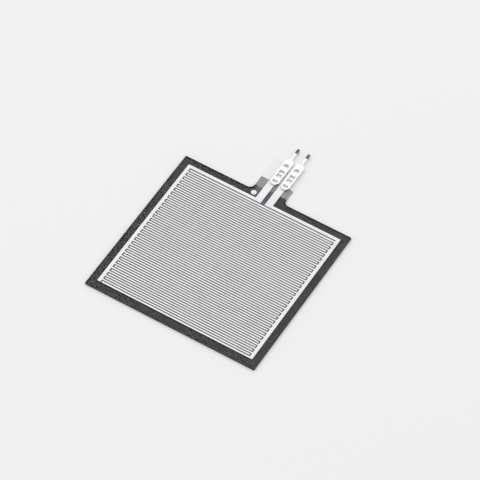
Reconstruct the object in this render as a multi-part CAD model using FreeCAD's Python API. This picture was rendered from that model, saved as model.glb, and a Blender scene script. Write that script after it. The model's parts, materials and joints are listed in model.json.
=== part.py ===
import FreeCAD, Part
import math
import os
from FreeCAD import Vector

# A square force sensing resistor: printed plastic films laminated face to face, with
# two crimped pins on a tail. Millimetres. The origin is the middle of the square on its
# rear face, +Y runs out along the tail and +Z comes out of the face that is pressed.

# Film sheet
square_side = 40.0
square_corner = 0.12
tail_width = 7.62
tail_offset = -0.14
tail_length = 9.58
tail_root_fillet = 1.2
tail_corner_left = 0.3
tail_corner_right = 0.8
black_tab_length = 1.49

# Layer thicknesses, from the rear face up
rear_thickness = 0.125
carbon_thickness = 0.025
spacer_thickness = 0.15
silver_thickness = 0.02
top_thickness = 0.15

# Interdigitated silver combs, and the plain borders that the sheet leaves round them
side_border = 1.65
tail_border = 1.58
front_border = 2.02
side_bus_width = 0.775
top_bus_width = 0.76
first_gap = 0.28
first_finger = 0.45
last_finger = 0.41
finger_gap = 0.25
gap_count = 59
tip_gap = 0.23
tip_chamfer = 0.08

# Silver leads on the tail, and the round silver spot beside them
contact_pitch = 2.54
lead_width = 1.58
lead_setback = 0.5
dot_diameter = 1.2
dot_lead_gap = 0.47
dot_bus_gap = 0.4

# Spacer cut-outs
window_clearance = 0.1
print_clearance = 0.05
vent_width = 0.5
lip_clearance = 0.31

# Crimped terminals
sheet = 0.15
body_width = 2.0
body_past_film = 1.0
body_rear_margin = 0.47
body_offset = 0.42
rear_chamfer_width = 0.5
rear_chamfer_length = 0.8
shoulder_length = 0.65
pin_width = 0.48
pin_length = 3.22
pin_end_width = 0.56
pin_end_length = 1.3
pin_end_chamfer = 0.14

# Lances that are cut from the terminal body, pushed through the film and curled behind it
bend_radius = 0.05
curl_radius = 0.08
cut_gap = 0.06
pierce_clearance = 0.05
tongue_width = 1.0
tongue_length = 0.88
tongue_corner = 0.42
claw_width = 0.72
claw_window_width = 1.3
claw_window_corner = 0.1

# Rows of lances, counted back from the end of the film
film_end_margin = 0.06
front_row_step = 1.49
claw_row_step = 1.17
rear_row_step = 1.2

# Sides shorter than this are left out where two rounded corners meet
shortest_edge = 1e-6

# Heights of the layers
carbon_z = rear_thickness
spacer_z = carbon_z + carbon_thickness
film_z = spacer_z + spacer_thickness
silver_z = film_z - silver_thickness
face_z = film_z + top_thickness

# Places along Y, from the square to the end of the tail
edge_y = square_side / 2
comb_width = square_side - 2 * side_border
comb_top_y = edge_y - tail_border
comb_bottom_y = front_border - edge_y
black_end_y = edge_y + black_tab_length
tail_end_y = edge_y + tail_length
lead_end_y = tail_end_y - lead_setback

# Places along Y on the terminals
tongue_window_length = tongue_length + cut_gap
front_hinge_y = tail_end_y - film_end_margin - tongue_window_length
front_claws_y = front_hinge_y - front_row_step
rear_claws_y = front_claws_y - claw_row_step
rear_hinge_y = rear_claws_y - rear_row_step
body_start_y = rear_hinge_y - tongue_window_length - body_rear_margin
body_end_y = tail_end_y + body_past_film

# The rear film and the adhesive stop short of the rearmost lance
lance_reach = bend_radius + sheet
lip_end_y = rear_hinge_y - lance_reach - pierce_clearance - lip_clearance

# The fingers between the first and the last share what the bus, gaps and end fingers leave
inner_finger_count = gap_count - 2
finger_width = (
    comb_top_y
    - comb_bottom_y
    - top_bus_width
    - first_gap
    - first_finger
    - last_finger
    - (gap_count - 1) * finger_gap
) / inner_finger_count


def rounded_face(corners):
    """Flat face through (x, y, radius) corners. Each corner is a tangent arc, which is
    limited by half of the shorter side that meets it."""
    count = len(corners)
    points = [Vector(x, y, 0) for x, y, _ in corners]
    arrive, leave, bends = [], [], []
    for i, (here, corner) in enumerate(zip(points, corners)):
        before, after = points[i - 1] - here, points[(i + 1) % count] - here
        half_angle = before.getAngle(after) / 2
        reach = min(corner[2] / math.tan(half_angle), before.Length / 2, after.Length / 2)
        before.normalize()
        after.normalize()
        inward = (before + after).normalize()
        bow = reach / math.cos(half_angle) - reach * math.tan(half_angle)
        arrive.append(here + before * reach)
        bends.append(here + inward * bow)
        leave.append(here + after * reach)
    edges = []
    for i in range(count):
        if corners[i][2] > 0:
            edges.append(Part.Arc(arrive[i], bends[i], leave[i]).toShape())
        if not leave[i].isEqual(arrive[(i + 1) % count], shortest_edge):
            edges.append(Part.LineSegment(leave[i], arrive[(i + 1) % count]).toShape())
    return Part.Face(Part.Wire(edges))


def slab(face, z, thickness):
    """The face lifted to z and given a thickness."""
    solid = face.extrude(Vector(0, 0, thickness))
    solid.translate(Vector(0, 0, z))
    return solid


def block(x0, x1, y0, y1, z, thickness):
    """Box between two x, two y and a height."""
    return Part.makeBox(x1 - x0, y1 - y0, thickness, Vector(x0, y0, z))


def joined(first, others):
    """One solid from pieces that touch, with the seams between them taken out."""
    return first.multiFuse(others).removeSplitter()


def sheet_face(end, left_corner=0, right_corner=0):
    """Outline of the square with a tail on its +Y side that ends at this y."""
    half = square_side / 2
    tail_left, tail_right = tail_offset - tail_width / 2, tail_offset + tail_width / 2
    return rounded_face(
        [
            (-half, -half, square_corner),
            (half, -half, square_corner),
            (half, half, square_corner),
            (tail_right, half, tail_root_fillet),
            (tail_right, end, right_corner),
            (tail_left, end, left_corner),
            (tail_left, half, tail_root_fillet),
            (-half, half, square_corner),
        ]
    )


def rear_film():
    """Plain film at the back, which also backs the adhesive along the root of the tail."""
    return slab(sheet_face(lip_end_y), 0, rear_thickness)


def carbon_layer():
    """Black force sensing ink printed all over the square and a short tab of the tail."""
    return slab(sheet_face(black_end_y), carbon_z, carbon_thickness)


def finger_heights():
    """Lower and upper y of each comb finger, from the tail side down."""
    widths = [first_finger] + [finger_width] * inner_finger_count + [last_finger]
    top = comb_top_y - top_bus_width - first_gap
    heights = []
    for width in widths:
        heights.append((top - width, top))
        top -= width + finger_gap
    return heights


def finger_bar(low, high, side):
    """Finger that grows from the bus on one side and stops a tip gap before the other."""
    root = side * (comb_width / 2 - side_bus_width)
    tip = -side * (comb_width / 2 - side_bus_width - tip_gap)
    cut = tip + side * tip_chamfer
    outline = [
        (root, low),
        (cut, low),
        (tip, low + tip_chamfer),
        (tip, high - tip_chamfer),
        (cut, high),
        (root, high),
    ]
    return slab(rounded_face([(x, y, 0) for x, y in outline]), silver_z, silver_thickness)


def silver_comb(side):
    """One electrode, with side -1 for the left and +1 for the right. The right one has
    every other finger from the first, so that one gap winds between the two combs."""
    half = comb_width / 2
    outer, inner = sorted((side * half, side * (half - side_bus_width)))
    bus = block(outer, inner, comb_bottom_y, comb_top_y, silver_z, silver_thickness)
    lead_middle = side * contact_pitch / 2
    lead_inner = lead_middle - side * lead_width / 2
    left, right = sorted((lead_inner, side * half))
    top_bus = block(left, right, comb_top_y - top_bus_width, comb_top_y, silver_z, silver_thickness)
    lead = block(
        lead_middle - lead_width / 2,
        lead_middle + lead_width / 2,
        comb_top_y - top_bus_width,
        lead_end_y,
        silver_z,
        silver_thickness,
    )
    own_fingers = finger_heights()[0 if side > 0 else 1 :: 2]
    bars = [finger_bar(low, high, side) for low, high in own_fingers]
    comb = joined(bus, [top_bus, lead] + bars)
    return comb.cut(pierced_slots(side))


def dot_disc(radius):
    """Disc of the silver's thickness at the printed spot's place."""
    x = -(contact_pitch / 2 + lead_width / 2 + dot_lead_gap + dot_diameter / 2)
    y = comb_top_y + dot_bus_gap + dot_diameter / 2
    return Part.makeCylinder(radius, silver_thickness, Vector(x, y, silver_z))


def silver_dot():
    """Round printed spot left of the leads."""
    return dot_disc(dot_diameter / 2)


def spacer_adhesive():
    """Frame of clear adhesive round the combs, which meets the rear film past the black
    tab. The leads and the spot are let into its face, and a vent runs between the leads."""
    frame = slab(sheet_face(lip_end_y), carbon_z, film_z - carbon_z).cut(carbon_layer())
    half = comb_width / 2 + window_clearance
    low, high = comb_bottom_y - window_clearance, comb_top_y + window_clearance
    cuts = [
        block(-half, half, low, high, spacer_z, spacer_thickness),
        block(-vent_width / 2, vent_width / 2, high, lip_end_y, carbon_z, film_z - carbon_z),
    ]
    for side in (-1, 1):
        middle = side * contact_pitch / 2
        reach = lead_width / 2 + print_clearance
        cuts.append(block(middle - reach, middle + reach, high, lip_end_y, silver_z, silver_thickness))
    return frame.cut(cuts + [dot_disc(dot_diameter / 2 + print_clearance)])


def top_film():
    """Clear film that carries the silver on its underside, with its whole tail."""
    film = slab(sheet_face(tail_end_y, tail_corner_left, tail_corner_right), film_z, top_thickness)
    return film.cut(pierced_slots(-1) + pierced_slots(1))


def terminal_middle(side):
    """x of a terminal's centre line, which is a little to the right of its lead."""
    return side * contact_pitch / 2 + body_offset


def lance_places(side):
    """Every lance of one terminal as (hinge point, direction into its window, width)."""
    middle = terminal_middle(side)
    places = [
        (Vector(middle, front_hinge_y, 0), Vector(0, 1, 0), tongue_width),
        (Vector(middle, rear_hinge_y, 0), Vector(0, -1, 0), tongue_width),
    ]
    for y in (front_claws_y, rear_claws_y):
        for way in (-1, 1):
            hinge = Vector(middle + way * claw_window_width / 2, y, 0)
            places.append((hinge, Vector(-way, 0, 0), claw_width))
    return places


def lance(hinge, way, width):
    """Strip that bends down at its hinge, goes through the film and curls back under the
    body, until its end meets the silver from behind."""
    along = way.cross(Vector(0, 0, 1))
    outer_curl = curl_radius + sheet
    bend_z, curl_middle = face_z - bend_radius, bend_radius - curl_radius
    slope = math.sqrt(0.5)

    def at(u, z):
        return hinge + way * u + Vector(0, 0, z) - along * (width / 2)

    def line(start, end):
        return Part.LineSegment(at(*start), at(*end)).toShape()

    def arc(start, through, end):
        return Part.Arc(at(*start), at(*through), at(*end)).toShape()

    hinge_top, hinge_bottom = (0, face_z + sheet), (0, face_z)
    leg_top, leg_foot = (lance_reach, bend_z), (lance_reach, silver_z)
    back_top, back_foot = (bend_radius, bend_z), (bend_radius, silver_z)
    end_far = (curl_middle - outer_curl, silver_z)
    end_near = (curl_middle - curl_radius, silver_z)
    edges = [
        arc(hinge_top, (lance_reach * slope, bend_z + lance_reach * slope), leg_top),
        line(leg_top, leg_foot),
        arc(leg_foot, (curl_middle, silver_z - outer_curl), end_far),
        line(end_far, end_near),
        arc(end_near, (curl_middle, silver_z - curl_radius), back_foot),
        line(back_foot, back_top),
        arc(back_top, (bend_radius * slope, bend_z + bend_radius * slope), hinge_bottom),
        line(hinge_bottom, hinge_top),
    ]
    return Part.Face(Part.Wire(edges)).extrude(along * width)


def pierced_slots(side):
    """Slots that a terminal's lances need through the film and the silver on it."""
    slots = []
    for hinge, way, width in lance_places(side):
        along = way.cross(Vector(0, 0, 1))
        near = hinge - way * pierce_clearance
        far = hinge + way * (lance_reach + pierce_clearance)
        reach = along * (width / 2 + pierce_clearance)
        corners = [near - reach, far - reach, far + reach, near + reach]
        face = Part.Face(Part.makePolygon(corners + corners[:1]))
        slots.append(slab(face, silver_z, face_z - silver_z))
    return slots


def window_faces(side):
    """Openings left in a terminal's body where its lances were cut out."""
    middle = terminal_middle(side)
    half = tongue_width / 2 + cut_gap
    faces = []
    for hinge_y, way in ((front_hinge_y, 1), (rear_hinge_y, -1)):
        tip_y = hinge_y + way * tongue_window_length
        corners = [
            (middle - half, hinge_y, 0),
            (middle + half, hinge_y, 0),
            (middle + half, tip_y, tongue_corner),
            (middle - half, tip_y, tongue_corner),
        ]
        faces.append(rounded_face(corners))
    half_x, half_y = claw_window_width / 2, claw_width / 2 + cut_gap
    for y in (front_claws_y, rear_claws_y):
        corners = [
            (middle + sx * half_x, y + sy * half_y, claw_window_corner)
            for sx, sy in ((-1, -1), (1, -1), (1, 1), (-1, 1))
        ]
        faces.append(rounded_face(corners))
    return faces


def terminal(side):
    """Pin, pointed shoulders and flat body on the film, with its curled lances."""
    middle = terminal_middle(side)
    neck_y = body_end_y + shoulder_length
    pin_end_y = neck_y + pin_length
    half = [
        (body_width / 2 - rear_chamfer_width, body_start_y),
        (body_width / 2, body_start_y + rear_chamfer_length),
        (body_width / 2, body_end_y),
        (pin_width / 2, neck_y),
        (pin_width / 2, pin_end_y - pin_end_length),
        (pin_end_width / 2, pin_end_y - pin_end_length + pin_end_chamfer),
        (pin_end_width / 2, pin_end_y - pin_end_chamfer),
        (pin_end_width / 2 - pin_end_chamfer, pin_end_y),
    ]
    right = [(middle + x, y, 0) for x, y in half]
    left = [(middle - x, y, 0) for x, y in reversed(half)]
    plate = slab(rounded_face(right + left), face_z, sheet)
    plate = plate.cut([slab(face, face_z, sheet) for face in window_faces(side)])
    return joined(plate, [lance(*place) for place in lance_places(side)])


parts = {
    "rear_film": rear_film(),
    "carbon_layer": carbon_layer(),
    "spacer_adhesive": spacer_adhesive(),
    "silver_comb_left": silver_comb(-1),
    "silver_comb_right": silver_comb(1),
    "silver_dot": silver_dot(),
    "top_film": top_film(),
    "terminal_left": terminal(-1),
    "terminal_right": terminal(1),
}

os.makedirs("parts", exist_ok=True)
for name, shape in parts.items():
    shape.exportStep(f"parts/{name}.step")
    box = shape.BoundBox
    print(
        f"{name}: {len(shape.Solids)} solid, valid {shape.isValid()}, volume {shape.Volume:.4f} mm3,",
        f"x {box.XMin:.2f}..{box.XMax:.2f}, y {box.YMin:.2f}..{box.YMax:.2f}, z {box.ZMin:.3f}..{box.ZMax:.3f}",
    )
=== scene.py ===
# %% [markdown]
# # A square force sensing resistor
#
# The real part is a laminate: two plastic films with printed inks face each other across a thin
# adhesive frame, and two stamped terminals are crimped onto the tail. It is only half a millimetre
# thick, so nearly everything that the eye gets comes from the layers and how light passes through them.
#
# The construction model gives every layer at its real size. This lesson loads it as a fixed frame,
# sets up the camera and the light first, and then dresses the layers from the bottom up, because each
# one is seen through the ones above it.

# %% Load the frame
import json

import bpy
import numpy as np
from mathutils import Matrix, Vector

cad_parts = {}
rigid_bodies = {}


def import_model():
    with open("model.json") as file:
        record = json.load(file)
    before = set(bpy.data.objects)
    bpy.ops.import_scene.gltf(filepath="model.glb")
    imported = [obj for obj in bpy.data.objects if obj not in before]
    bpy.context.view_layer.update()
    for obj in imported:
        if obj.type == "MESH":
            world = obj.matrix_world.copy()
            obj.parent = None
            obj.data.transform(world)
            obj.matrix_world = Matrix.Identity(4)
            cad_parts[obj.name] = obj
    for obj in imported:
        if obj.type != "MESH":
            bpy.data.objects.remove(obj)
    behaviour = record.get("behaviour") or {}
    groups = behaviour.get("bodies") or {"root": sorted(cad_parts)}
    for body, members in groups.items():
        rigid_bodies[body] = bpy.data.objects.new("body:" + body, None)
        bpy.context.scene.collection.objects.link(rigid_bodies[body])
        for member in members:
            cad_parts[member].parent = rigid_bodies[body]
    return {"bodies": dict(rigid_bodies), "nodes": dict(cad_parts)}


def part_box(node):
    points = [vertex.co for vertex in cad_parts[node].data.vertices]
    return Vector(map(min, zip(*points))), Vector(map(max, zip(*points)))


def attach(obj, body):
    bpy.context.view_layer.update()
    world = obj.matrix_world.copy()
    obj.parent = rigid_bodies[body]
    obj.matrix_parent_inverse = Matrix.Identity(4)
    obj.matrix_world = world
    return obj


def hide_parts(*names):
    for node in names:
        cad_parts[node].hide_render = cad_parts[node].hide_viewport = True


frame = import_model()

MM = 0.001
BODY = next(iter(frame["bodies"]))
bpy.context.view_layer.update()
print("layers:", sorted(frame["nodes"]))

# %% [markdown]
# ## The camera
#
# The picture was taken from the front right, a little over half way up, through a long lens: the far
# side of the square is only slightly shorter than the near one. A camera can be placed by typing
# coordinates, but a direction, a height angle and a distance from a point on the part say the same
# thing in words that can be read. A last small turn about its own axis matches the tilt of the picture.

# %% Place the camera
VIEW_TURN = 26.02
VIEW_HEIGHT = 51.92
VIEW_ROLL = 5.64
VIEW_DISTANCE = 720.9 * MM
VIEW_TARGET = Vector((0.77, 7.15, 0.0)) * MM
LENS = 261.75
SENSOR = 36.0
NEAREST_SEEN = 10 * MM


def direction(turn, height):
    """Unit vector towards a place seen at a turn from the front and a height above the floor, in degrees:
    (sin turn cos height, -cos turn cos height, sin height)."""
    turn, height = np.radians([turn, height])
    return Vector((np.sin(turn) * np.cos(height), -np.cos(turn) * np.cos(height), np.sin(height)))


def aimed(place, target, roll=0.0):
    """Placement that looks from a place to a target, then turns anticlockwise about the view axis."""
    look = (target - place).to_track_quat("-Z", "Y").to_matrix().to_4x4()
    return Matrix.Translation(place) @ look @ Matrix.Rotation(np.radians(roll), 4, "Z")


camera_data = bpy.data.cameras.new("camera")
camera_data.lens = LENS
camera_data.sensor_width = SENSOR
camera_data.clip_start = NEAREST_SEEN
camera = bpy.data.objects.new("camera", camera_data)
camera_place = VIEW_TARGET + direction(VIEW_TURN, VIEW_HEIGHT) * VIEW_DISTANCE
camera.matrix_world = aimed(camera_place, VIEW_TARGET, VIEW_ROLL)
bpy.context.scene.collection.objects.link(camera)
bpy.context.scene.camera = camera
print("camera at mm:", [round(x / MM, 1) for x in camera.matrix_world.translation])

# %% [markdown]
# ## The floor
#
# The part is photographed on white. A floor that is pale in itself gives that white without pouring
# more light on the part, and it still takes the thin shadow under the film. It lies a hair below the
# part, so that the two never share a height.

# %% Helpers that make a material
def make_material(name):
    """A new material with its Principled shader: (material, shader, function that adds a node)."""
    material = bpy.data.materials.new(name)
    material.use_nodes = True
    tree = material.node_tree

    def add(kind, **values):
        node = tree.nodes.new(kind)
        for key, value in values.items():
            setattr(node, key, value)
        return node

    return material, tree.nodes["Principled BSDF"], add


def link(material, source, target):
    """Joins an output socket to an input socket."""
    material.node_tree.links.new(source, target)


# %% Lay the floor
FLOOR_SIZE = 3.0
FLOOR_DROP = 0.02 * MM
FLOOR_COLOUR = (0.94, 0.94, 0.94, 1)


def add_floor():
    """One square a little below the part, wide enough to fill the picture."""
    half = FLOOR_SIZE / 2
    corners = np.array([(-half, -half), (half, -half), (half, half), (-half, half)])
    points = np.c_[corners, np.full(4, -FLOOR_DROP)]
    mesh = bpy.data.meshes.new("floor")
    mesh.from_pydata(points.tolist(), [], [(0, 1, 2, 3)])
    floor = bpy.data.objects.new("floor", mesh)
    bpy.context.scene.collection.objects.link(floor)
    material, shader, _ = make_material("floor_paper")
    shader.inputs["Base Color"].default_value = FLOOR_COLOUR
    shader.inputs["Roughness"].default_value = 1.0
    shader.inputs["Specular IOR Level"].default_value = 0.0
    mesh.materials.append(material)


add_floor()
print("floor in m:", FLOOR_SIZE, "and below the part in mm:", FLOOR_DROP / MM)

# %% [markdown]
# ## Light
#
# The light is a pale sky all round plus two broad lamps, which is what a light tent does. The stronger
# lamp stands behind the part, where the camera sees it mirrored in everything flat: that is what makes
# tin and silver look white. The weaker one comes from the left and gives the stamped edges their shade.
#
# A lamp's power says little by itself. What counts is how bright it makes a flat white sheet, so each
# lamp is given that share, and its power follows: share times pi squared times the distance squared,
# divided by the sine of its height. All shares and the sky add up to about one.

# %% Hang the lamps
SKY_COLOUR = (1.0, 1.0, 1.0, 1)
SKY_STRENGTH = 0.72
LAMP_DISTANCE = 0.9
LAMP_SIZE = 1.1
SHARE_BEHIND = 0.20
LEFT_TURN, LEFT_HEIGHT = -70, 55
SHARE_LEFT = 0.12


def add_lamp(name, turn, height, share):
    """A square area lamp that looks at the middle of the part from a turn and a height. Its power is
    share pi^2 distance^2 / sin height, which lights a flat white sheet by that share."""
    lamp = bpy.data.lights.new(name, "AREA")
    lamp.size = LAMP_SIZE
    lamp.energy = share * np.pi**2 * LAMP_DISTANCE**2 / np.sin(np.radians(height))
    holder = bpy.data.objects.new(name, lamp)
    holder.matrix_world = aimed(direction(turn, height) * LAMP_DISTANCE, Vector((0, 0, 0)))
    bpy.context.scene.collection.objects.link(holder)


add_lamp("lamp_behind", VIEW_TURN + 180, VIEW_HEIGHT, SHARE_BEHIND)
add_lamp("lamp_left", LEFT_TURN, LEFT_HEIGHT, SHARE_LEFT)

world = bpy.data.worlds.new("tent")
world.use_nodes = True
sky = world.node_tree.nodes["Background"]
sky.inputs["Color"].default_value = SKY_COLOUR
sky.inputs["Strength"].default_value = SKY_STRENGTH
bpy.context.scene.world = world
bpy.context.scene.view_settings.view_transform = "Standard"
print("shares add up to", round(SKY_STRENGTH + SHARE_BEHIND + SHARE_LEFT, 2))

# %% [markdown]
# ## Textures in real sizes
#
# Every finish below is a plain colour broken up by something small: the grain of a dried ink, the haze
# of a film, the drag marks of a press tool. Object coordinates are in metres here, so a grain is given
# by its real size, and the scale of the noise is one over that size. The helpers turn a noise into a
# mix of two colours or a range of roughness. A noise keeps mostly to the middle of its range, so that
# middle is what gets spread over the wanted values.

# %% Helpers for grain and colour
NOISE_MIDDLE = (0.3, 0.7)


def grain(material, add, size, detail=3.0, stretch=(1, 1, 1)):
    """Noise with features of a real size in metres, drawn out along the axes by stretch."""
    place = add("ShaderNodeTexCoord")
    scaled = add("ShaderNodeMapping")
    scaled.inputs["Scale"].default_value = [1 / (size * s) for s in stretch]
    noise = add("ShaderNodeTexNoise")
    noise.inputs["Scale"].default_value = 1.0
    noise.inputs["Detail"].default_value = detail
    link(material, place.outputs["Object"], scaled.inputs["Vector"])
    link(material, scaled.outputs["Vector"], noise.inputs["Vector"])
    return noise.outputs["Fac"]


def spread(material, add, source, low, high, source_range=NOISE_MIDDLE):
    """Moves a value from its source range to the range low-high."""
    remap = add("ShaderNodeMapRange")
    remap.inputs["From Min"].default_value, remap.inputs["From Max"].default_value = source_range
    remap.inputs["To Min"].default_value = low
    remap.inputs["To Max"].default_value = high
    link(material, source, remap.inputs["Value"])
    return remap.outputs["Result"]


def blend_colours(material, add, share, first, second):
    """Colour that goes from the first to the second as share goes from 0 to 1. Either may be a socket."""
    mix = add("ShaderNodeMix", data_type="RGBA")
    link(material, share, mix.inputs["Factor"])
    for value, socket in ((first, mix.inputs["A"]), (second, mix.inputs["B"])):
        if isinstance(value, bpy.types.NodeSocket):
            link(material, value, socket)
        else:
            socket.default_value = (*value, 1)
    return mix.outputs["Result"]


# %% [markdown]
# ## Relief, and places where a finish ends
#
# The relief of these layers is so shallow that geometry would be wasted on it. A bump tilts the surface
# as a relief of a real height would, and a thousandth of a millimetre is enough for ink and film.
#
# Where one finish ends inside a piece, as at the end of the ink, a coordinate says so: a value that
# steps from 0 to 1 at a place on one axis mixes the two.

# %% Helpers for relief and for the end of a finish
SHALLOW = 0.001 * MM


def add_bump(material, add, shader, source, height=SHALLOW):
    """Tilts the surface by a texture of a real height in metres."""
    bump = add("ShaderNodeBump")
    bump.inputs["Distance"].default_value = height
    bump.inputs["Strength"].default_value = 1.0
    link(material, source, bump.inputs["Height"])
    link(material, bump.outputs["Normal"], shader.inputs["Normal"])


def beyond(material, add, axis, edge, soft=0.01 * MM):
    """1 where an object coordinate lies past an edge, 0 before it, with a soft step between."""
    place = add("ShaderNodeTexCoord")
    split = add("ShaderNodeSeparateXYZ")
    link(material, place.outputs["Object"], split.inputs["Vector"])
    return spread(material, add, split.outputs[axis], 0.0, 1.0, (edge - soft, edge + soft))


def dress(node, material):
    """Gives a layer of the frame its finish."""
    mesh = frame["nodes"][node].data
    mesh.materials.clear()
    mesh.materials.append(material)


# %% [markdown]
# ## The rear film
#
# The lowest layer is a milky polyester film. On the real part the carbon ink is printed on its inner
# side, so from behind the square looks dark grey, and only the short strip of tail past the ink has the
# film's own pale grey. The carbon layer's own box says where the ink ends, and the colour changes there.

# %% Milky film
FILM_GREY = (0.29, 0.305, 0.305)
FILM_GREY_HAZE = (0.33, 0.34, 0.34)
FILM_OVER_INK = (0.045, 0.047, 0.048)
HAZE_SIZE = 0.8 * MM
SATIN_SIZE, SATIN = 0.15 * MM, (0.32, 0.46)
RIPPLE_SIZE = 0.25 * MM
POLYESTER_INDEX = 1.55
ink_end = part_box("carbon_layer")[1].y


def milky_film():
    """Satin polyester that is pale where it is bare and dark where ink lies behind it."""
    material, shader, add = make_material("milky_polyester")
    haze = spread(material, add, grain(material, add, HAZE_SIZE), 0.0, 1.0)
    bare = blend_colours(material, add, haze, FILM_GREY, FILM_GREY_HAZE)
    past_ink = beyond(material, add, "Y", ink_end)
    colour = blend_colours(material, add, past_ink, FILM_OVER_INK, bare)
    link(material, colour, shader.inputs["Base Color"])
    rough = spread(material, add, grain(material, add, SATIN_SIZE), *SATIN)
    link(material, rough, shader.inputs["Roughness"])
    shader.inputs["IOR"].default_value = POLYESTER_INDEX
    add_bump(material, add, shader, grain(material, add, RIPPLE_SIZE))
    return material


dress("rear_film", milky_film())
print("ink ends at y mm:", round(ink_end / MM, 2))

# %% [markdown]
# ## The carbon ink
#
# The black that frames the grid is a dried carbon ink: matt, neutral, and faintly speckled where the
# particles stand up. Two noises do it, one of a tenth of a millimetre for the particles and a broad one
# for the uneven thickness that a squeegee leaves. Its dull sheen makes up for that of the cover film,
# as the film's own step explains. From the round spot to the gap between the leads, where the air vent
# runs, the ink is painted a lighter slate grey: a painted sheen for the bluish light that the ink reflects
# there.

# %% Carbon ink
INK_BLACK = (0.018, 0.0183, 0.0186)
INK_GREY = (0.024, 0.0243, 0.0246)
# painted sheen: a slate grey that stands for the light the ink reflects at the air vent
INK_PAINTED_SHEEN = (0.106, 0.128, 0.142)
PAINTED_SHEEN_START, PAINTED_SHEEN_END = -3.4 * MM, 0.48 * MM
PAINTED_SHEEN_FOOT = 17.66 * MM
PAINTED_SHEEN_SOFTNESS = 0.1 * MM
PARTICLE_SIZE, SQUEEGEE_SIZE = 0.09 * MM, 6.0 * MM
INK_ROUGHNESS = (0.42, 0.52)
INK_SHEEN = 0.55


def carbon_ink():
    """Matt black with fine particles on a slow change of shade, and a painted slate grey sheen at the
    leads.
    """
    material, shader, add = make_material("carbon_ink")
    particles = grain(material, add, PARTICLE_SIZE, detail=4.0)
    drift = grain(material, add, SQUEEGEE_SIZE, detail=1.0)
    shade = blend_colours(material, add, spread(material, add, particles, 0.0, 1.0), INK_BLACK, INK_GREY)
    slow = blend_colours(material, add, spread(material, add, drift, 0.0, 0.5), shade, INK_GREY)
    # painted sheen: between these x and y edges the ink is coloured slate grey for the light it reflects
    # there
    colour = blend_colours(material, add, beyond(material, add, "X", PAINTED_SHEEN_END), INK_PAINTED_SHEEN, slow)
    for axis, edge in (("X", PAINTED_SHEEN_START), ("Y", PAINTED_SHEEN_FOOT)):
        inside = beyond(material, add, axis, edge, PAINTED_SHEEN_SOFTNESS)
        colour = blend_colours(material, add, inside, slow, colour)
    link(material, colour, shader.inputs["Base Color"])
    link(material, spread(material, add, particles, *INK_ROUGHNESS), shader.inputs["Roughness"])
    shader.inputs["Specular IOR Level"].default_value = INK_SHEEN
    add_bump(material, add, shader, particles)
    return material


dress("carbon_layer", carbon_ink())
print("slate patch in mm:", np.round([PAINTED_SHEEN_START / MM, PAINTED_SHEEN_END / MM, PAINTED_SHEEN_FOOT / MM], 2).tolist())

# %% [markdown]
# ## The printed silver
#
# Silver ink is not a mirror. Flat flakes lie in a binder, so it looks nearly white from every side, with
# a satin sheen that runs along the print. A part metal, part pale-binder shader gives that. The weave of
# the printing screen leaves a very fine regular relief, and the print's thickness drifts a little from
# finger to finger, which shows as slightly greyer stretches.

# %% Silver ink
SILVER_LIGHT = (0.93, 0.922, 0.934)
SILVER_SHADE = (0.78, 0.775, 0.79)
SILVER_METAL = 0.35
FLAKE_SIZE, PRINT_DRIFT = 0.06 * MM, 2.5 * MM
SILVER_ROUGHNESS = (0.38, 0.55)
SCREEN_PITCH, SCREEN_RELIEF = 0.075 * MM, 0.002 * MM
SCREEN_WOBBLE = 0.6


def silver_ink():
    """Near-white satin flakes with the relief of a printing screen."""
    material, shader, add = make_material("silver_ink")
    flakes = grain(material, add, FLAKE_SIZE, detail=4.0)
    drift = grain(material, add, PRINT_DRIFT, detail=2.0)
    near = blend_colours(material, add, spread(material, add, drift, 0.0, 0.5), SILVER_LIGHT, SILVER_SHADE)
    colour = blend_colours(material, add, spread(material, add, flakes, 0.0, 0.6), near, SILVER_SHADE)
    link(material, colour, shader.inputs["Base Color"])
    shader.inputs["Metallic"].default_value = SILVER_METAL
    link(material, spread(material, add, flakes, *SILVER_ROUGHNESS), shader.inputs["Roughness"])
    place = add("ShaderNodeTexCoord")
    weave = add("ShaderNodeTexWave", wave_type="BANDS", bands_direction="DIAGONAL")
    weave.inputs["Scale"].default_value = 1 / (np.pi * SCREEN_PITCH)
    weave.inputs["Distortion"].default_value = SCREEN_WOBBLE
    link(material, place.outputs["Object"], weave.inputs["Vector"])
    add_bump(material, add, shader, weave.outputs["Fac"], SCREEN_RELIEF)
    return material


silver = silver_ink()
for name in ("silver_comb_left", "silver_comb_right", "silver_dot"):
    dress(name, silver)
print("silver pieces:", [n for n in sorted(frame["nodes"]) if n.startswith("silver")])

# %% [markdown]
# ## A hair of air between the clear layers
#
# In the construction model each layer lies exactly on the next. A renderer can't tell which of two faces
# at the same height comes first, and see-through layers then show speckle. So the two clear layers are
# made new: the adhesive frame is drawn in by two thousandths of a millimetre above and below, and the
# cover film on its underside.
#
# The adhesive frame has steps and grooves, so it is a copy of the frame's own mesh, merged into one
# skin, with its heights moved in whole arrays.

# %% Read a layer's mesh as arrays
HAIR = 0.002 * MM
MERGE = 1e-7


def skin_of(node):
    """A layer's points and triangles as arrays, with points that share a place made one."""
    mesh = frame["nodes"][node].data
    points = np.empty(len(mesh.vertices) * 3)
    mesh.vertices.foreach_get("co", points)
    mesh.calc_loop_triangles()
    triangles = np.empty(len(mesh.loop_triangles) * 3, int)
    mesh.loop_triangles.foreach_get("vertices", triangles)
    keys = np.round(points.reshape(-1, 3) / MERGE).astype(int)
    _, first, same = np.unique(keys, axis=0, return_index=True, return_inverse=True)
    triangles = same.reshape(-1)[triangles].reshape(-1, 3)
    a, b, c = triangles.T
    whole = (a != b) & (b != c) & (c != a)
    return points.reshape(-1, 3)[first], triangles[whole]


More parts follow.
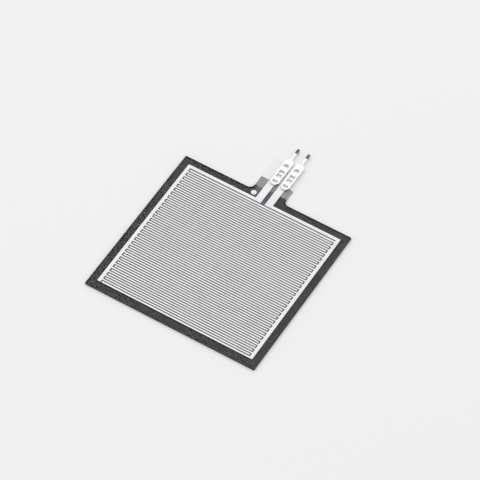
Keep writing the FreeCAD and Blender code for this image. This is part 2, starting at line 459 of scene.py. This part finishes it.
def add_piece(name, points, faces, material, slot):
    """Makes a piece from arrays of points and faces, and lets it ride on the part's one body."""
    mesh = bpy.data.meshes.new(name)
    mesh.from_pydata(points.tolist(), [], [list(map(int, face)) for face in faces])
    mesh.validate()
    mesh.materials.append(material)
    piece = bpy.data.objects.new(name, mesh)
    bpy.context.scene.collection.objects.link(piece)
    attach(piece, BODY)
    print(name, "points", len(mesh.vertices), "faces", len(mesh.polygons))
    return piece


# %% [markdown]
# ## Cut edges
#
# A die leaves the edge of a clear film matt. Where the film lies on black, its cut edge shows dark,
# because the ink took the light that could have come out there. Along the bare tail it shows frosted.
# So the upright faces of the clear layers carry one of two more finishes. A face counts as upright when
# its normal is nearly level, and its middle says which part of the outline it belongs to.

# %% Finishes of a cut edge
EDGE_DARK = (0.022, 0.023, 0.025, 1)
EDGE_FROSTED = (0.62, 0.66, 0.67, 1)
FROST_ALPHA = 0.45
LEVEL_NORMAL = 0.02
CUT_SIZE, CUT_ROUGHNESS = 0.12 * MM, (0.45, 0.6)
CUT_SHEEN = 0.3


def cut_edge(name, colour, alpha):
    """Die-cut plastic with a dull sheen, its grain pressed flat along the cut."""
    material, shader, add = make_material(name)
    shader.inputs["Base Color"].default_value = colour
    shader.inputs["Alpha"].default_value = alpha
    marks = grain(material, add, CUT_SIZE, stretch=(1, 1, 0.3))
    link(material, spread(material, add, marks, *CUT_ROUGHNESS), shader.inputs["Roughness"])
    shader.inputs["Specular IOR Level"].default_value = CUT_SHEEN
    return material


dark_edge = cut_edge("edge_over_ink", EDGE_DARK, 1.0)
frosted_edge = cut_edge("edge_of_tail", EDGE_FROSTED, FROST_ALPHA)


def finish_edges(piece):
    """Gives a piece's upright faces their edge finish: slot 1 over the ink, slot 2 past it."""
    mesh = piece.data
    mesh.materials.append(dark_edge)
    mesh.materials.append(frosted_edge)
    count = len(mesh.polygons)
    normals, middles = np.empty(count * 3), np.empty(count * 3)
    mesh.polygons.foreach_get("normal", normals)
    mesh.polygons.foreach_get("center", middles)
    upright = np.abs(normals.reshape(-1, 3)[:, 2]) < LEVEL_NORMAL
    past_ink = middles.reshape(-1, 3)[:, 1] > ink_end
    mesh.polygons.foreach_set("material_index", (upright * (1 + past_ink)).astype(np.int32))
    mesh.update()
    over = (upright & ~past_ink).sum()
    print(piece.name, "edge faces over ink:", over, "past it:", upright.sum() - over)


# %% [markdown]
# ## The adhesive frame
#
# The spacer is a clear glue on a carrier. It holds the two films apart round the grid and fills the
# tail. Over the black ink it is all but unseen: an alpha of nearly nothing leaves the trace of haze that
# it has, and a rough surface keeps it from glinting a second time under the cover film.

# %% Adhesive
GLUE_COLOUR = (0.62, 0.66, 0.66, 1)
GLUE_ALPHA = 0.002
GLUE_ROUGHNESS = 0.55
GLUE_WAVE, GLUE_RELIEF = 0.4 * MM, 0.004 * MM


def clear_glue():
    """Clear glue: a trace of haze with a soft, slightly wavy surface."""
    material, shader, add = make_material("clear_glue")
    shader.inputs["Base Color"].default_value = GLUE_COLOUR
    shader.inputs["Alpha"].default_value = GLUE_ALPHA
    shader.inputs["Roughness"].default_value = GLUE_ROUGHNESS
    add_bump(material, add, shader, grain(material, add, GLUE_WAVE), GLUE_RELIEF)
    return material


def drawn_in(points, gap):
    """Moves each flat level of a layer towards its middle height by the gap:
    height minus the sign of (height - middle) times the gap."""
    middle = (points[:, 2].min() + points[:, 2].max()) / 2
    moved = points.copy()
    moved[:, 2] -= np.sign(points[:, 2] - middle) * gap
    return moved


glue_points, glue_faces = skin_of("spacer_adhesive")
adhesive = add_piece("adhesive_frame", drawn_in(glue_points, HAIR), glue_faces, clear_glue(), "adhesive")
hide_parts("spacer_adhesive")
finish_edges(adhesive)

# %% [markdown]
# ## The clear cover film
#
# The top film is die-cut from clear polyester. Its cut edge is what makes it visible: the knife leaves a
# tiny rounding that catches light all the way round, and round each slot where a terminal pierces it.
#
# The surface is worked out from the flat top face alone. Each point of its rim has a direction straight
# out of the film. Carrying a small profile of (inset, height) pairs along that rim gives the wall, and
# the face's own triangles close it above and below.

# %% The flat face and its rim
def flat_face(points, triangles, height):
    """The triangles of a skin that lie at one height, as (flat points, triangles). All are turned
    anticlockwise: the cross product of two of their sides then points up."""
    flat = (np.abs(points[triangles][:, :, 2] - height) < MERGE).all(axis=1)
    used, renumbered = np.unique(triangles[flat], return_inverse=True)
    corners = renumbered.reshape(-1, 3)
    plane = points[used][:, :2]
    a, b, c = (plane[corners[:, i]] for i in range(3))
    clockwise = (b - a)[:, 0] * (c - a)[:, 1] < (b - a)[:, 1] * (c - a)[:, 0]
    corners[clockwise] = corners[clockwise][:, ::-1]
    return plane, corners


def rim_of(plane, triangles):
    """Rim edges of a flat face and, for each point, how it moves outwards for one unit of growth.
    An edge that only one triangle uses is on the rim. Its normal is its direction turned clockwise, and
    a corner moves along the sum of its two normals, divided by one plus their product."""
    edges = np.concatenate([triangles[:, [0, 1]], triangles[:, [1, 2]], triangles[:, [2, 0]]])
    count = len(plane)
    forward = edges[:, 0] * count + edges[:, 1]
    backward = edges[:, 1] * count + edges[:, 0]
    rim = edges[~np.isin(forward, backward)]
    along = plane[rim[:, 1]] - plane[rim[:, 0]]
    along /= np.linalg.norm(along, axis=1)[:, None]
    normal = np.c_[along[:, 1], -along[:, 0]]
    before, after = np.zeros((count, 2)), np.zeros((count, 2))
    after[rim[:, 0]] = normal
    before[rim[:, 1]] = normal
    product = (before * after).sum(axis=1)
    return rim, (before + after) / (1 + product)[:, None]


film_low, film_high = (corner.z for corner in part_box("top_film"))
film_face = flat_face(*skin_of("top_film"), film_high)
print("film face: points", len(film_face[0]), "rim edges", len(rim_of(*film_face)[0]))

# %% A wall carried along the rim
FILM_ROUNDING = 0.025 * MM
ROUNDING_STEPS = 4


def edge_profile(low, high, rounding, steps):
    """(inset, height) pairs up a wall: straight, then a quarter circle whose inset is r (1 - cos t)
    and whose height is r sin t above the place where the rounding starts."""
    turn = np.linspace(0, np.pi / 2, steps + 1)
    inset = np.r_[0.0, rounding * (1 - np.cos(turn))]
    height = np.r_[low, high - rounding + rounding * np.sin(turn)]
    return inset, height


def plate(plane, triangles, inset, height):
    """A closed plate from a flat face and a wall profile: one ring of points for each pair of the
    profile, quads between the rings along every rim edge, and the face itself below and above."""
    rim, outward = rim_of(plane, triangles)
    count = len(plane)
    rings = [np.c_[plane - outward * i, np.full(count, h)] for i, h in zip(inset, height)]
    floors = np.arange(len(rings) - 1)[:, None] * count
    start, end = rim[:, 0] + floors, rim[:, 1] + floors
    wall = np.stack([start, end, end + count, start + count], axis=-1).reshape(-1, 4)
    top = triangles + (len(rings) - 1) * count
    faces = [*triangles[:, ::-1].tolist(), *wall.tolist(), *top.tolist()]
    return np.concatenate(rings), faces


def without_loose(points, faces):
    """Drops the points that no face uses."""
    used, renumbered = np.unique(np.concatenate([np.ravel(f) for f in faces]), return_inverse=True)
    ends = np.cumsum([len(f) for f in faces])[:-1]
    return points[used], np.split(renumbered, ends)


film_wall = edge_profile(film_low + HAIR, film_high, FILM_ROUNDING, ROUNDING_STEPS)
film_skin = without_loose(*plate(*film_face, *film_wall))
print("wall (inset, height) in mm:", np.round(np.c_[film_wall] / MM, 3).tolist())

# %% [markdown]
# ## Clear polyester
#
# Real polyester bends light by an index of about 1.6 and adds a weak mirror image all over. Above black,
# few light paths find so weak a reflection, and the render turns speckled. So the film's index here is
# near that of air, and the sheen that it would give is written on the ink, where every path meets it.
#
# A glass shader also stops shadow rays, as if the film were solid. So the Light Path node swaps it for
# plain transparency for shadow rays, and for light on its way from or to the layers below.

# %% The film's finish
FILM_TINT = (0.955, 0.955, 0.96, 1)
FILM_INDEX = 1.07
FILM_WAVE = 2.2 * MM


def clear_film():
    """Glossy clear polyester. It bends only what the camera looks at: a shadow, diffuse or glossy ray
    meets plain transparency in its place, so light reaches the inks and leaves them straight."""
    material, shader, add = make_material("clear_polyester")
    shader.inputs["Base Color"].default_value = FILM_TINT
    shader.inputs["Transmission Weight"].default_value = 1.0
    shader.inputs["Roughness"].default_value = 0.0
    shader.inputs["IOR"].default_value = FILM_INDEX
    add_bump(material, add, shader, grain(material, add, FILM_WAVE, detail=1.0))
    rays = add("ShaderNodeLightPath")
    straight = rays.outputs["Is Shadow Ray"]
    for kind in ("Is Diffuse Ray", "Is Glossy Ray"):
        either = add("ShaderNodeMath", operation="MAXIMUM")
        link(material, straight, either.inputs[0])
        link(material, rays.outputs[kind], either.inputs[1])
        straight = either.outputs["Value"]
    open_air = add("ShaderNodeBsdfTransparent")
    choice = add("ShaderNodeMixShader")
    output = material.node_tree.nodes["Material Output"]
    link(material, straight, choice.inputs["Fac"])
    link(material, shader.outputs["BSDF"], choice.inputs[1])
    link(material, open_air.outputs["BSDF"], choice.inputs[2])
    link(material, choice.outputs["Shader"], output.inputs["Surface"])
    return material


cover = add_piece("clear_cover_film", *film_skin, clear_film(), "clear_film")
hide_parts("top_film")
finish_edges(cover)

# %% [markdown]
# ## The terminals
#
# Each terminal is one strip of tinned bronze. Small tongues are cut out of it, pushed through the film
# and curled over behind it, which is what holds it and what touches the silver. A stamped part is never
# knife-sharp: the die rolls one edge over and leaves a small break on the other. The frame's own mesh
# is merged into one skin, so that its faces share their edges, and a Bevel modifier then breaks each
# edge that turns by more than 35 degrees.

# %% Tinned terminals
EDGE_BREAK, BREAK_STEPS = 0.018 * MM, 2
SHARP = np.radians(35)
TIN_LIGHT = (0.93, 0.93, 0.925)
TIN_SHADE = (0.80, 0.80, 0.80)
# painted reflection: the dark that the pin ends mirror, given as their colour
TIP_PAINTED_REFLECTION = (0.10, 0.10, 0.12)
TIP_LENGTH, TIP_SOFTNESS = 1.3 * MM, 0.05 * MM
TIN_METAL = 0.6
TIN_ROUGHNESS = (0.24, 0.42)
DRAG_WIDTH, DRAG_STRETCH = 0.05 * MM, 14
CLOUD_SIZE = 0.5 * MM


def tinned_metal():
    """Bright tin with fine drag marks along the strip, and a painted dark reflection on the end of each
    pin.
    """
    material, shader, add = make_material("tinned_bronze")
    marks = grain(material, add, DRAG_WIDTH, stretch=(1, DRAG_STRETCH, 1))
    cloud = grain(material, add, CLOUD_SIZE, detail=2.0)
    bright = blend_colours(material, add, spread(material, add, cloud, 0.0, 1.0), TIN_LIGHT, TIN_SHADE)
    # painted reflection: the last stretch of each pin is coloured dark for the dark surroundings that it
    # mirrors
    tip_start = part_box("terminal_left")[1].y - TIP_LENGTH
    tip = beyond(material, add, "Y", tip_start, TIP_SOFTNESS)
    link(material, blend_colours(material, add, tip, bright, TIP_PAINTED_REFLECTION), shader.inputs["Base Color"])
    shader.inputs["Metallic"].default_value = TIN_METAL
    link(material, spread(material, add, marks, *TIN_ROUGHNESS), shader.inputs["Roughness"])
    add_bump(material, add, shader, marks)
    return material


def soft_edged(node, name, material, slot):
    """A copy of a stamped piece in one skin, with broken edges."""
    piece = add_piece(name, *skin_of(node), material, slot)
    bevel = piece.modifiers.new("broken_edges", "BEVEL")
    bevel.width = EDGE_BREAK
    bevel.segments = BREAK_STEPS
    bevel.limit_method = "ANGLE"
    bevel.angle_limit = SHARP
    bevel.harden_normals = False
    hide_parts(node)
    return piece


tin = tinned_metal()
for side in ("left", "right"):
    soft_edged(f"terminal_{side}", f"crimped_terminal_{side}", tin, "tinned_metal")
